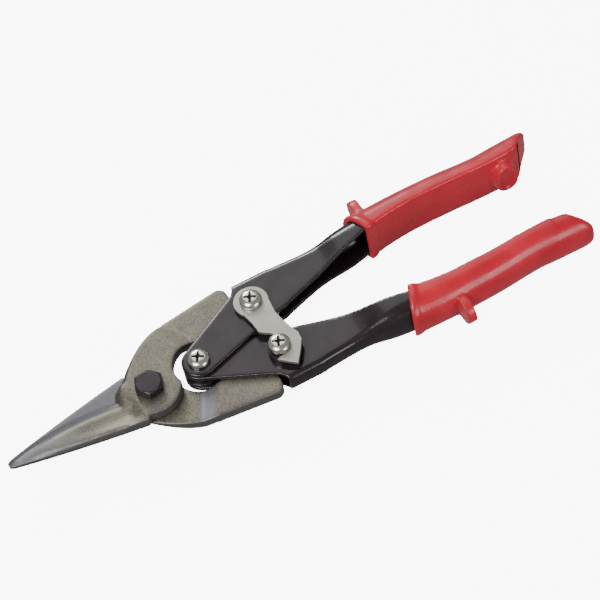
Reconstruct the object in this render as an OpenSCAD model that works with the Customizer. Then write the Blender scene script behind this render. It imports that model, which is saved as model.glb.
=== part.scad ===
// Compound-action aviation snips, straight cut, closed and latched.
// X runs from the blade tips to the grip ends, Y across the tool towards the upper handle,
// Z out of its front face. The tool lies on the pivot nut and the two grip collars at Z = 0,
// with the middle of its box at X = 0 and Y = 0. Inside the modules the main pivot is at the
// origin and the blades meet on Z = 0; placed() moves that layout into the part's frame.

/* [Layout] */
// Main pivot to the blade tips
nose_length = 64.2; // [62:0.1:66]
// Main pivot to the pivot that joins the handles
hinge_x = 22.4; // [22:0.1:23]
// Main pivot to the pivots that join tails and handles, along the tool
link_x = 53; // [52.6:0.1:53.4]
// Middle of the tool to the pivots that join tails and handles, across it
link_y = 12.85; // [12.6:0.05:13.1]
// Main pivot to the ends of the grips
grip_end_x = 190.2; // [189.5:0.1:192]

/* [Blades] */
// Thickness of each blade forging
blade_t = 5; // [4.8:0.1:5.2]
// Gap between the two ground inner faces
blade_gap = 0.2; // [0.1:0.05:0.3]
// Radius of the round boss at the main pivot
boss_r = 13; // [12.6:0.1:13.2]
// Radius of the arc along the cutting edge
edge_arc_r = 103; // [102:0.5:104]
// Slope of the ground bevel, in degrees
bevel_angle = 32; // [28:1:36]
// Depth of the dished hollow in the nose
dish_depth = 1.3; // [0.8:0.1:1.6]
// Thickness left at the tip
tip_t = 1.9; // [1.5:0.1:2.5]
// Radius of the eye at the end of the tail
eye_r = 7.6; // [7.2:0.1:7.6]
// Radius of the relief that clears the handles' round ends
relief_r = 10.9; // [10.7:0.1:11.2]
// Chamfer along the outer edge of the tail
tail_chamfer = 3; // [2:0.1:3.2]
// Distance from the main pivot to the square end of the tail
tail_end_x = 47.2; // [46.6:0.1:47.4]

/* [Handles] */
// Thickness of the handle sheet
sheet_t = 2; // [1.9:0.05:2.1]
// Radius of the round ends at the handles' pivot
handle_end_r = 7.5; // [7.2:0.1:7.8]
// Main pivot to the front edge of the channel's outer wall
web_x = 49.6; // [49.6:0.1:50]
// Middle of the tool to the channel's outer wall
web_y = 26.8; // [26.6:0.1:27]
// Outside bend radius of the channel at the front
bend_r = 2.6; // [2.4:0.1:3]
// Half of the channel's depth inside the grip
channel_half = 9.3; // [9.1:0.1:9.4]

/* [Grips] */
// Half of the grip's depth
grip_half = 10.85; // [10.7:0.05:10.9]
// Thickness of the grip over the channel's open side
grip_wall_in = 1.2; // [1.1:0.1:1.4]
// Thickness of the grip over the channel's back
grip_wall_out = 1.5; // [1.3:0.1:1.7]
// How far the collar stands out of the grip
collar_rise = 0.65; // [0.5:0.05:0.9]
// Length of the collar along the grip
collar_w = 3.6; // [3.2:0.1:4]
// Reach of the finger guard from the middle of the tool
guard_reach = 40.5; // [39:0.5:42]
// Thickness of the finger guard
guard_t = 4; // [3.5:0.1:4.5]
// How far the stop pad stands out of the upper grip
pad_rise = 4.5; // [3:0.5:6]

/* [Fasteners] */
// Radius of the main bolt's shank
bolt_r = 4; // [3.8:0.1:4.1]
// Hexagon of the main bolt and its nut, across flats
bolt_flats = 11; // [10.6:0.2:11.4]
// Height of the main bolt's head
bolt_head_h = 3.8; // [3.4:0.1:4.2]
// Radius of the shank of the three handle screws
screw_r = 2.5; // [2.4:0.05:2.6]
// Radius of the domed heads of the handle screws
screw_head_r = 4.7; // [4.5:0.1:4.8]
// Height of the domed heads of the handle screws
screw_head_h = 3.1; // [2.8:0.1:3.2]
// Hexagon of the screws' nuts, across flats
nut_flats = 8; // [7.8:0.1:8.4]
// Height of the screws' nuts
nut_h = 3.9; // [3.5:0.1:4]

/* [Latch] */
// Thickness of the latch plate
latch_t = 1.8; // [1.6:0.1:2]
// Radius of the latch's round end
latch_end_r = 7.4; // [7.2:0.1:7.6]
// Radius of the barrel that the latch hooks round
barrel_r = 3.5; // [3.3:0.1:3.6]

/* [Fits] */
// Radial clearance of a turning pin in its bore
run_fit = 0.05; // [0.03:0.01:0.08]
// Side clearance between faces that slide past each other
side_fit = 0.05; // [0.04:0.01:0.06]
// Extra radial clearance of the front blade on the main bolt, which the linkage needs
link_slack = 0.32; // [0.3:0.01:0.36]

/* [Hidden] */
$fn = 48;
eps = 0.02;
big = 60;

steel = [0.60, 0.58, 0.54];
zinc = [0.75, 0.74, 0.71];
black = [0.16, 0.14, 0.16];
paint = [0.27, 0.25, 0.27];
red = [0.80, 0.16, 0.20];

hinge = [hinge_x, 0];
link = [link_x, link_y];

// Stack of levels in the upper handle's own layout; the lower handle is the same stamping
// turned over, so each handle has one plate outside the other's.
channel_in = blade_t + 2 * side_fit;
far_in = -(channel_in - sheet_t - 2 * side_fit) / 2;
near_in = far_in + channel_in;
near_out = near_in + sheet_t;
far_out = far_in - sheet_t;
tail_top = near_in - side_fit;
tail_low = far_in + side_fit;
stack_out = near_out;

// Levels of the latch above the upper handle
washer_t = 0.5;
latch_low = near_out + washer_t + side_fit;
latch_top = latch_low + latch_t;
head_seat = latch_top + side_fit;

// The tool rests on its collars and on the pivot nut, which reach the same depth
rest_half = grip_half + collar_rise;
pivot_washer_t = 1.2;
pivot_nut_h = rest_half - blade_t - pivot_washer_t;
mid_x = (grip_end_x - nose_length) / 2;

module placed() translate([-mid_x, 0, rest_half]) children();

// The mirrored half of the tool: half a turn about the X axis
module turned_over() rotate([180, 0, 0]) children();

// Point where a line from p touches the circle (c, r), on the side given by s
function touch(c, r, p, s) = let (d = p - c, a = atan2(d[1], d[0]) + s * acos(r / norm(d)))
    c + r * [cos(a), sin(a)];

// Points along an arc round c, from angle a0 to a1 in n steps
function arc(c, r, a0, a1, n) = [for (i = [0:n]) let (a = a0 + (a1 - a0) * i / n)
    c + r * [cos(a), sin(a)]];

// Smooth curve through the [x, value] points of a list, flat beyond its ends
function segment(t, x, i = 0) = (i >= len(t) - 2 || x < t[i + 1][0]) ? i : segment(t, x, i + 1);
function slope(t, i) = (i <= 0 || i >= len(t) - 1) ? 0
    : (t[i + 1][1] - t[i - 1][1]) / (t[i + 1][0] - t[i - 1][0]);
function curve(t, x) = let (
    i = segment(t, x),
    w = t[i + 1][0] - t[i][0],
    u = min(1, max(0, (x - t[i][0]) / w)),
    a = t[i][1], b = t[i + 1][1], m = slope(t, i) * w, n = slope(t, i + 1) * w)
    a + u * m + u * u * (3 * (b - a) - 2 * m - n) + u * u * u * (2 * (a - b) + m + n);

// Two triangles of an end cap, between the opposite halves of a ring of n points
function fold(i, n) = let (a = i, b = i + 1, c = n - 2 - i, d = n - 1 - i)
    (b == c) ? [[d, b, a]] : [[c, b, a], [d, c, a]];

// Closed solid through a list of rings that have the same even number of points
module skin(rings) {
    n = len(rings[0]);
    k = len(rings);
    sides = [for (j = [0:k - 2], i = [0:n - 1]) let (m = (i + 1) % n)
        each [[j * n + i, j * n + m, (j + 1) * n + m], [j * n + i, (j + 1) * n + m, (j + 1) * n + i]]];
    first = [for (i = [0:n / 2 - 2]) each fold(i, n)];
    last = [for (f = first) [for (i = [2:-1:0]) (k - 1) * n + f[i]]];
    polyhedron([for (r = rings) each r], concat(sides, first, last));
}

// ---------------------------------------------------------------- blades

edge_c = [-34.5, 5.9 - edge_arc_r];
tail_arc_c = [28.9, -23.6];
tail_arc_r = 50;
tail_corner_r = 4;
spine_tip = [-nose_length, -2.4];
spine_root = [-7, -14];
spine_sag = 0.6;
ramp_dir = 26.6;
ramp_start = 21.3;
ramp_w = 6;

function spine(n) = [for (i = [0:n]) let (u = i / n)
    spine_tip * (1 - u) + spine_root * u - [0, spine_sag * 4 * u * (1 - u)]];

module nose_outline() {
    intersection() {
        translate(edge_c) circle(r = edge_arc_r, $fn = 180);
        polygon(concat(spine(10), [[0, -6], [0, 12], [-nose_length + 1.5, 12],
                                   [-nose_length, 0.6]]));
    }
}

module tail_outline() {
    corner = [tail_end_x - tail_corner_r, 24.4];
    polygon(concat([[0, 0]], arc(tail_arc_c, tail_arc_r, 135.4, 102.6, 22),
                   arc(corner, tail_corner_r, 83, 0, 5),
                   [[tail_end_x, 8], [link_x - 2, link_y - eye_r + 0.3],
                    [hinge_x + 19.6, 4.4], [hinge_x + 8, 5.9], [hinge_x, 5.9]]));
}

// Nose, boss, tail and eye at full thickness, with the relief for the handles' round ends
module blade_blank() {
    h = blade_t - tail_low;
    translate([0, 0, tail_low]) difference() {
        union() {
            linear_extrude(height = h) nose_outline();
            cylinder(r = boss_r, h = h, $fn = 72);
            linear_extrude(height = h) tail_outline();
            translate(link) cylinder(r = eye_r, h = h);
        }
        translate([hinge_x, 0, -1]) cylinder(r = relief_r, h = big, $fn = 60);
    }
}

// Prism with the profile given along the ramp's normal, as wide as the tail
module ramp_cut(points)
    rotate([0, 0, ramp_dir]) rotate([90, 0, 0])
        linear_extrude(height = 2 * big, center = true) polygon(points);

// Everything above the blade's top face where the tail drops to the handle's channel
module above_tail()
    ramp_cut([[ramp_start - ramp_w, 2 * blade_t - tail_top], [ramp_start + ramp_w, tail_top],
              [2 * big, tail_top], [2 * big, 3 * blade_t], [ramp_start - ramp_w, 3 * blade_t]]);

// Everything below the blade's inner face in front of the drop
module below_nose() {
    drop = blade_gap / 2 - tail_low;
    ramp_cut([[-2 * big, -2 * blade_t], [-2 * big, blade_gap / 2], [ramp_start, blade_gap / 2],
              [ramp_start + 2 * ramp_w, tail_low - drop], [ramp_start + 2 * ramp_w, -2 * blade_t]]);
}

// Cone that grinds the bevel along the cutting edge, up to the boss
module bevel_cut() {
    land = 0.3;
    run = blade_t / tan(bevel_angle);
    difference() {
        translate([edge_c[0], edge_c[1], blade_gap / 2]) rotate_extrude($fn = 180)
            polygon([[edge_arc_r + 1, land - tan(bevel_angle)], [edge_arc_r + 1, 2 * blade_t],
                     [edge_arc_r - run, 2 * blade_t], [edge_arc_r - run, land + blade_t]]);
        translate([0, 0, -big / 2]) cylinder(r = boss_r - 0.1, h = big, $fn = 72);
        translate([0, -big, -big / 2]) cube([2 * big, 3 * big, big]);
    }
}

// Round-ended hollow between spine and bevel
module dish_cut() {
    half_w = 5.4;
    r = (half_w * half_w + dish_depth * dish_depth) / (2 * dish_depth);
    intersection() {
        translate([-9.5, -6.6, blade_t - dish_depth + r]) rotate([0, 0, -4.5]) rotate([0, -90, 0])
            cylinder(r = r, h = big, $fn = 96);
        translate([-39.5, -6, 0]) cylinder(r = 30, h = big, $fn = 120);
    }
}

// Plane that thins the nose towards its tip
module taper_cut() {
    start = -36;
    angle = atan((blade_t - tip_t) / (nose_length + start));
    translate([start, 0, blade_t]) rotate([0, -angle, 0])
        translate([-2 * big, -big, 0]) cube([2 * big, 2 * big, big]);
}

// Chamfer along the curved outer edge of the tail
module tail_chamfer_cut() {
    intersection() {
        translate([tail_arc_c[0], tail_arc_c[1], 0]) rotate_extrude($fn = 180)
            polygon([[tail_arc_r - tail_chamfer, blade_t],
                     [tail_arc_r + 1, blade_t - tail_chamfer - 1],
                     [tail_arc_r + 1, blade_t + 1], [tail_arc_r - tail_chamfer, blade_t + 1]]);
        translate([-20, 8, 0]) cube([37, 30, 2 * blade_t]);
    }
}

module blade(pivot_bore_r) {
    difference() {
        blade_blank();
        above_tail();
        below_nose();
        bevel_cut();
        dish_cut();
        taper_cut();
        tail_chamfer_cut();
        translate([0, 0, -big / 2]) cylinder(r = pivot_bore_r, h = big);
        translate([link_x, link_y, -big / 2]) cylinder(r = bush_r + run_fit, h = big);
    }
}

module front_blade() color(steel) placed() blade(bolt_r + link_slack);

module rear_blade() color(steel) placed() turned_over() blade(bolt_r + run_fit);

// ---------------------------------------------------------------- main pivot

function hex_r(flats) = flats / 2 / cos(30);

// Hexagon prism with the corners of its outer end turned off
module hexagon(flats, h) {
    intersection() {
        rotate([0, 0, 10]) cylinder(r = hex_r(flats), h = h, $fn = 6);
        rotate_extrude() polygon([[0, 0], [hex_r(flats) + 1, 0], [hex_r(flats) + 1, h - 1.2],
                                  [flats / 2 - 0.4, h], [0, h]]);
    }
}

module pivot_bolt() color(black) placed() {
    translate([0, 0, blade_t + side_fit]) hexagon(bolt_flats, bolt_head_h);
    translate([0, 0, -rest_half + 0.4])
        cylinder(r = bolt_r, h = rest_half + blade_t + 1);
}

module pivot_washer() color(zinc) placed()
    translate([0, 0, -blade_t - pivot_washer_t]) difference() {
        cylinder(r = 7.2, h = pivot_washer_t);
        translate([0, 0, -1]) cylinder(r = bolt_r + run_fit, h = big);
    }

module pivot_nut() color(black) placed()
    translate([0, 0, -blade_t - pivot_washer_t]) turned_over() difference() {
        hexagon(bolt_flats, pivot_nut_h);
        translate([0, 0, -1]) cylinder(r = bolt_r + run_fit, h = big);
    }

// ---------------------------------------------------------------- handles

// Edges of the bent channel in plan, its two faces and its bend, along X
inner_edge = [[60, 3.9], [70, 6.9], [80, 10.0], [90, 13.3], [100, 16.1], [110, 19.3],
              [126, 21.9], [146, 22.0], [164, 21.1], [176, 21.2], [190, 22.6]];
outer_edge = [[60, 26.8], [68, 26.4], [80, 25.7], [88, 26.0], [98, 27.9], [108, 29.4],
              [126, 30.8], [146, 30.4], [164, 28.9], [176, 29.6], [190, 30.2]];
near_face = [[76, near_out], [86, near_out + 0.3], [98, 8.5], [108, channel_half],
             [190, channel_half]];
far_face = [[76, far_out], [84, far_out - 0.8], [98, -8.0], [108, -channel_half],
            [190, -channel_half]];
bend_curve = [[74, bend_r], [84, 3.2], [96, 5.6], [108, 7.2], [190, 7.2]];
channel_x0 = 64;
channel_x1 = 66;
channel_end = 184;
bend_steps = 5;

// One side of the U section, t inside its outer face, from open edge to open edge
function u_path(x, t) = let (
    yi = curve(inner_edge, x),
    yo = curve(outer_edge, x) - t,
    zn = curve(near_face, x) - t,
    zf = curve(far_face, x) + t,
    r = max(0.6, curve(bend_curve, x) - t))
    concat([[x, yi, zn]],
           [for (i = [0:bend_steps]) let (a = 90 - 90 * i / bend_steps)
               [x, yo - r + r * cos(a), zn - r + r * sin(a)]],
           [for (i = [0:bend_steps]) let (a = -90 * i / bend_steps)
               [x, yo - r + r * cos(a), zf + r + r * sin(a)]],
           [[x, yi, zf]]);

function reversed(v) = [for (i = [len(v) - 1:-1:0]) v[i]];

function channel_ring(x, skin_t, gauge)
    = concat(u_path(x, skin_t), reversed(u_path(x, skin_t + gauge)));

// Bent channel from behind the flat plates to the inside of the grip
module channel() {
    stations = concat([channel_x0, channel_x1 + 2], [for (x = [72:4:124]) x],
                      [for (x = [132:8:176]) x], [channel_end]);
    skin([for (x = stations) channel_ring(x, x < channel_x1 ? eps : 0,
                                          x < channel_x1 ? sheet_t - 2 * eps : sheet_t)]);
}

// Plan of the flat front of the handle, which holds the tail between its plates
module plate_outline() {
    notch = [47.6, 22];
    back = [channel_x1, curve(inner_edge, channel_x1)];
    open = [60, curve(inner_edge, 60)];
    translate(hinge) circle(r = handle_end_r);
    polygon([touch(hinge, handle_end_r, open, -1), open, back,
             [channel_x1, web_y], [web_x, web_y], [web_x, 25], notch,
             touch(hinge, handle_end_r, notch, 1)]);
}

// U section of the flat front, in the plane across the tool
module front_section(t) {
    r = max(0.6, bend_r - t);
    translate([-big, far_out + t]) square([big + web_y - t - r, near_out - far_out - 2 * t]);
    translate([web_y - t - 2 * r, far_out + t + r])
        square([2 * r, near_out - far_out - 2 * t - 2 * r]);
    for (z = [far_out + t + r, near_out - t - r])
        translate([web_y - t - r, z]) circle(r = r);
}

// Plates, pivots and the first stretch of web, bent from one sheet
module plates() {
    intersection() {
        translate([0, 0, -big / 2]) linear_extrude(height = big) plate_outline();
        rotate([90, 0, 90]) linear_extrude(height = channel_x1) difference() {
            front_section(0);
            front_section(sheet_t);
        }
    }
}

module handle() {
    difference() {
        union() {
            plates();
            channel();
        }
        for (p = [hinge, link]) translate([p[0], p[1], -big / 2])
            cylinder(r = screw_r + run_fit, h = big);
    }
}

module upper_handle() color(paint) placed() handle();

module lower_handle() color(paint) placed() turned_over() handle();

// ---------------------------------------------------------------- grips

grip_front = 109.4;
front_lean = -5.3;
end_lean = 7;
end_round = 2.4;
guard_half = 6;

// Closed D section round the channel: x on its flat side, lean further along X at its back,
// grown by e all round
function d_ring(x, e, lean) = let (
    yi = curve(inner_edge, x) - grip_wall_in - e - 0.1,
    yo = curve(outer_edge, x) + grip_wall_out + e + 0.1,
    z = grip_half + e,
    r = min(curve(bend_curve, max(x, 108)) + 1.9 + e, yo - yi - 1.6),
    s = 1.1,
    ring = concat([for (i = [0:2]) let (a = 180 - 45 * i) [yi + s + s * cos(a), z - s + s * sin(a)]],
                  [for (i = [0:6]) let (a = 90 - 15 * i) [yo - r + r * cos(a), z - r + r * sin(a)]],
                  [for (i = [0:6]) let (a = -15 * i) [yo - r + r * cos(a), r - z + r * sin(a)]],
                  [for (i = [0:2]) let (a = -90 - 45 * i) [yi + s + s * cos(a), s - z + s * sin(a)]]))
    [for (p = ring) [x + lean * (p[0] - yi) / (yo - yi), p[0], p[1]]];

// Collar, long body and the flared, rounded end, as [x, growth, lean]
function grip_stations() = let (
    body = grip_front + collar_w,
    waist = body + 58,
    shoulder = grip_end_x - end_lean - end_round)
    concat([[grip_front, collar_rise - 0.5, front_lean], [grip_front + 0.5, collar_rise, front_lean],
            [body - 0.5, collar_rise, front_lean], [body, collar_rise - 0.4, front_lean],
            [body + 0.1, 0, front_lean]],
           [for (i = [1:9]) let (u = i / 9) [body + 58 * u, 0, front_lean * (1 - u) * (1 - u)]],
           [for (i = [1:4]) let (u = i / 4) [waist + (shoulder - waist) * u, 0, end_lean * u * u]],
           [for (a = [30, 60, 90])
               [shoulder + end_round * sin(a), end_round * (cos(a) - 1), end_lean]]);

// Space inside the grip that the channel fills
module grip_cavity() {
    stations = concat([96], [for (x = [100:4:124]) x], [for (x = [132:8:176]) x],
                      [channel_end + 0.2]);
    skin([for (x = stations) [for (p = u_path(x, -0.1)) [p[0],
        p[1] - (p[1] < curve(inner_edge, x) + 0.01 ? 0.1 : 0), p[2]]]]);
}

// Finger guard: an upright tongue with a round end
module guard(x) {
    translate([x, 0, 0]) rotate([90, 0, 90]) linear_extrude(height = guard_t) {
        translate([guard_reach - guard_half, 0]) circle(r = guard_half);
        translate([28.6, -guard_half]) square([guard_reach - guard_half - 28.6, 2 * guard_half]);
    }
}

// Round-ended stop pad with a shallow recess, on the grip's flat inner side
module stop_pad() {
    face = curve(inner_edge, pad_x) - grip_wall_in;
    difference() {
        translate([pad_x, face + 0.6, 0]) rotate([90, 0, 0]) linear_extrude(height = pad_rise + 0.6)
            pad_outline(5);
        translate([pad_x, face - pad_rise + 1, 0]) rotate([90, 0, 0]) linear_extrude(height = 2)
            pad_outline(3.4);
    }
}

pad_x = 174;

module pad_outline(r) {
    for (z = [-2.4, 2.4]) translate([0, z]) circle(r = r);
    square([2 * r, 4.8], center = true);
}

module grip(guard_x, with_pad) {
    difference() {
        union() {
            skin([for (s = grip_stations()) d_ring(s[0], s[1], s[2])]);
            guard(guard_x);
            if (with_pad) stop_pad();
        }
        grip_cavity();
    }
}

module upper_grip() color(red) placed() grip(110.4, true);

module lower_grip() color(red) placed() turned_over() grip(124.6, false);

// ---------------------------------------------------------------- handle fasteners

// Domed cross-recess screw with its seat at z = 0 and its shank below
module screw(length) {
    dome_r = (screw_head_r * screw_head_r + 1.7 * 1.7) / (2 * 1.7);
    difference() {
        union() {
            intersection() {
                cylinder(r = screw_head_r, h = screw_head_h);
                translate([0, 0, screw_head_h - dome_r]) sphere(r = dome_r, $fn = 96);
            }
            translate([0, 0, -length]) cylinder(r = screw_r, h = length + 1);
        }
        for (a = [45, 135]) rotate([0, 0, a]) translate([-2.4, -0.45, screw_head_h - 1.6])
            cube([4.8, 0.9, 3]);
    }
}

module hex_nut() {
    turned_over() difference() {
        hexagon(nut_flats, nut_h);
        translate([0, 0, -1]) cylinder(r = screw_r + run_fit, h = big);
    }
}

// Plain tube between two levels
module tube(outer_r, z0, z1) {
    translate([0, 0, z0]) difference() {
        cylinder(r = outer_r, h = z1 - z0);
        translate([0, 0, -1]) cylinder(r = screw_r + run_fit, h = big);
    }
}

bush_r = 4;

module hinge_screw() color(zinc) placed() translate([hinge_x, 0, near_out])
    screw(near_out + stack_out + nut_h + 0.4);

module hinge_sleeve() color(zinc) placed() translate([hinge_x, 0, 0])
    tube(3.6, far_in + side_fit, -far_in - side_fit);

module hinge_nut() color(zinc) placed() translate([hinge_x, 0, -stack_out]) hex_nut();

module upper_link_screw() color(zinc) placed() translate([link_x, link_y, head_seat])
    screw(head_seat - far_out + nut_h + 0.4);

module upper_link_bush() color(zinc) placed() translate([link_x, link_y, 0])
    tube(bush_r, far_in, near_in);

module upper_link_nut() color(zinc) placed() translate([link_x, link_y, far_out]) hex_nut();

module lower_link_screw() color(zinc) placed() translate([link_x, -link_y, head_seat])
    screw(head_seat + stack_out + nut_h + 0.4);

module lower_link_bush() color(zinc) placed() translate([link_x, -link_y, 0])
    tube(bush_r, -near_in, -far_in);

module lower_link_nut() color(zinc) placed() translate([link_x, -link_y, -stack_out]) hex_nut();

// ---------------------------------------------------------------- return spring

wire_r = 0.62;
coil_r = 5.4;
coil_z = 0.68;
near_knee = [hinge_x + 11, 1.1];
far_knee = [57, 3.4];
arm_end_x = 82;

// Path of the torsion spring: lower arm between the tails, two turns round the sleeve, upper arm
function spring_path() = let (
    a = atan2(near_knee[1], 11) + acos(coil_r / norm([11, near_knee[1]])),
    end_y = curve(outer_edge, arm_end_x) - sheet_t - wire_r - 0.1)
    concat([[arm_end_x, -end_y, -coil_z], [far_knee[0], -far_knee[1], -coil_z],
            [near_knee[0], -near_knee[1], -coil_z]],
           [for (i = [0:36]) let (t = i / 36, b = -a - (720 - 2 * a) * t)
               [hinge_x + coil_r * cos(b), coil_r * sin(b), -coil_z + 2 * coil_z * t]],
           [[near_knee[0], near_knee[1], coil_z], [far_knee[0], far_knee[1], coil_z],
            [arm_end_x, end_y, coil_z]]);

// Ring of the wire at point i of its path, square to the path in plan
function wire_ring(path, i) = let (
    a = path[max(0, i - 1)], b = path[min(len(path) - 1, i + 1)],
    d = [b[0] - a[0], b[1] - a[1]] / norm([b[0] - a[0], b[1] - a[1]]))
    [for (k = [0:7]) let (w = 45 * k)
        path[i] + wire_r * [d[1] * cos(w), -d[0] * cos(w), sin(w)]];

module return_spring() color(zinc) placed() {
    path = spring_path();
    skin([for (i = [0:len(path) - 1]) wire_ring(path, i)]);
}

// ---------------------------------------------------------------- latch

latch_fit = 0.4;
flange_r = 5.2;
lip_slope = 19.5;

// Plan of the latch: round end, waist and hook that opens towards the blades
module latch_outline() {
    barrel = [link_x, -link_y];
    notch_r = barrel_r + latch_fit;
    lip = [cos(90 - lip_slope), -sin(90 - lip_slope)];
    mouth = [-cos(lip_slope), -sin(lip_slope)];
    difference() {
        union() {
            translate(link) circle(r = latch_end_r);
            polygon([link + latch_end_r * [-1, 0], [47.2, 8.2], [48.3, 3], [48.7, -2.2],
                     [48.4, -17.6], [50.6, -19.8], [55.6, -24.6], [59.1, -19.8],
                     [62.2, -14.8], [62.5, -11], [61, -7.1], [60.1, -3.2], [59.2, 2.5],
                     [59.8, 9.9], link + latch_end_r * [1, 0]]);
        }
        translate(barrel) circle(r = notch_r);
        polygon([barrel + notch_r * lip, barrel + notch_r * lip + 20 * mouth, [30, -2.4],
                 [48.7, -2.4], [53, -5.9], barrel + notch_r * [0.6, 0.8]]);
    }
}

module latch() color(zinc) placed() translate([0, 0, latch_low]) linear_extrude(height = latch_t)
    difference() {
        latch_outline();
        translate(link) circle(r = screw_r + run_fit);
    }

module latch_washer() color(zinc) placed() translate([link_x, link_y, 0])
    tube(5.4, near_out, near_out + washer_t);

// Shouldered barrel on the lower handle that the hook closes round
module latch_barrel() color(black) placed() translate([link_x, -link_y, 0]) {
    tube(flange_r, -far_in + sheet_t, latch_low - 2 * side_fit);
    tube(barrel_r, latch_low - 3 * side_fit, head_seat);
}

front_blade();
rear_blade();
pivot_bolt();
pivot_washer();
pivot_nut();
upper_handle();
lower_handle();
upper_grip();
lower_grip();
hinge_screw();
hinge_sleeve();
hinge_nut();
return_spring();
upper_link_screw();
upper_link_bush();
upper_link_nut();
lower_link_screw();
lower_link_bush();
lower_link_nut();
latch();
latch_washer();
latch_barrel();
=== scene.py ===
"""Looks of a pair of aviation snips: finishes, softened edges, screws, spring, studio."""

import logging
import math
from collections.abc import Callable, Iterable
from dataclasses import dataclass, field
from enum import Enum
from functools import partial

import bmesh
import bpy
from mathutils import Matrix, Vector

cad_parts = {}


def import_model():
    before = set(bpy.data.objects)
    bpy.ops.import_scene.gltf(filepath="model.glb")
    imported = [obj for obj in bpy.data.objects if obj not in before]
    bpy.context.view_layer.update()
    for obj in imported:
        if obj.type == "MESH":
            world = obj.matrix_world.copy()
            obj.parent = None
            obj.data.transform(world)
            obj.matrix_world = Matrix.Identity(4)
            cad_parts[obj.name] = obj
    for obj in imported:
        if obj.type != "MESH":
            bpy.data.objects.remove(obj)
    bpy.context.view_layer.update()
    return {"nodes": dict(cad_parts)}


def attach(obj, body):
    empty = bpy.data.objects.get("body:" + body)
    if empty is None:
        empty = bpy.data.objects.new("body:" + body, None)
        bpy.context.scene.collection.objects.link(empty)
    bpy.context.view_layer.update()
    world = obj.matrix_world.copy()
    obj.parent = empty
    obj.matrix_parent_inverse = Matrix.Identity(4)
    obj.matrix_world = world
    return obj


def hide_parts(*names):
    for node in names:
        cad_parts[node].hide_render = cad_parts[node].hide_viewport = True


log = logging.getLogger("snips")

MM = 0.001
# The part's frame holds the main pivot here, with the blades meeting at this height
PIVOT = Vector((-0.063, 0.0, 0.0115))
# How far the rear ends of the handles lean towards each other, in millimetres
HANDLE_LEAN = 0.95
# The lean starts and is complete here, in millimetres behind the main pivot
LEAN_SPAN = (84.0, 125.0)
# Direction in plan along which a blade's tail gets thinner
TAIL_RUN = (0.894, 0.448)
# Points of a CAD mesh that lie closer than this are one point, in metres
WELD = 0.00001
# Faces that turn by less than this are one flat face, in degrees
FLAT_ANGLE = 0.6
# Faces across a rounded edge
ROUNDING_STEPS = 3
# A skin's points with less shell than this lie on even faces, which are relaxed more
CALM_SHELL = 1.05
CALM_ROUNDS = 16

BLACK = (0.0, 0.0, 0.0)
WHITE = (1.0, 1.0, 1.0)
TO_TIPS = (-1.0, 0.0, 0.0)
UPWARDS = (0.0, 0.0, 1.0)


class Body(str, Enum):
    """Names of the moving bodies."""

    LOWER_HANDLE = "lower_handle_body"
    UPPER_HANDLE = "upper_handle_body"
    FRONT_BLADE = "front_blade_body"
    REAR_BLADE = "rear_blade_body"
    LATCH = "latch_body"


def place(x: float, y: float, z: float) -> Vector:
    """Point of the part's frame for millimetres measured from the main pivot."""
    return PIVOT + Vector((x, y, z)) * MM


# ------------------------------------------------------------------ finishes


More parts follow.
